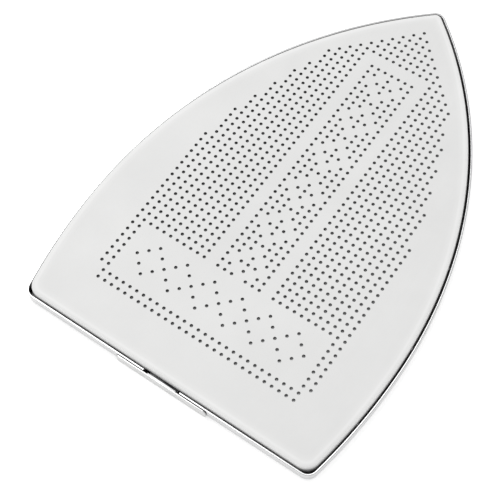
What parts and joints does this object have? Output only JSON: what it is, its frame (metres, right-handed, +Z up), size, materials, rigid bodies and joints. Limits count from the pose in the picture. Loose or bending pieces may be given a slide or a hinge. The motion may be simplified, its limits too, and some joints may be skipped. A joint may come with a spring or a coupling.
{
  "type": "iron shoe",
  "caption": "Perforated non-stick iron shoe with a bright metal rim, a toe keeper and a sprung heel latch that clips it under a clothes iron.",
  "frame": {"origin": "under the middle of the shoe's box, on the surface that the rim's free edge stands on", "axes": "+Z up out of the sole face, +Y towards the toe, +X to the right seen with the sole face up and the toe away"},
  "size_m": [0.1552, 0.2202, 0.0077],
  "materials": {
    "ptfe_sheet": "satin pale grey fluoropolymer sheet",
    "plate_aluminium": "mill finish",
    "bright_rim": "bright rolled, polished",
    "bright_strip": "bright rolled stainless strip",
    "spring_steel_strip": "satin stainless strip",
    "rivet_aluminium": "dull, set flat",
    "spring_wire": "drawn spring wire"
  },
  "bodies": {
    "root": {"sole_sheet": "ptfe_sheet", "backing_plate": "plate_aluminium", "rim_band": "bright_rim", "skirt_rivets": "rivet_aluminium", "toe_keeper": "spring_steel_strip", "toe_keeper_rivets": "rivet_aluminium", "spring_anchor_right": "spring_steel_strip", "spring_anchor_left": "spring_steel_strip", "anchor_rivets": "rivet_aluminium", "spring_right": "spring_wire", "spring_left": "spring_wire"},
    "latch": {"pull_plate": "bright_strip", "slide_tongue": "spring_steel_strip", "heel_clamp": "spring_steel_strip", "latch_rivets": "rivet_aluminium"}
  },
  "joints": [
    {"name": "latch_slide", "type": "slide", "parent": "root", "child": "latch", "axis": [0, -1, 0], "range_m": [0, 0.0055], "stiffness_N_per_m": 800, "springref_m": -0.004, "deforming": ["spring_left", "spring_right"]}
  ]
}
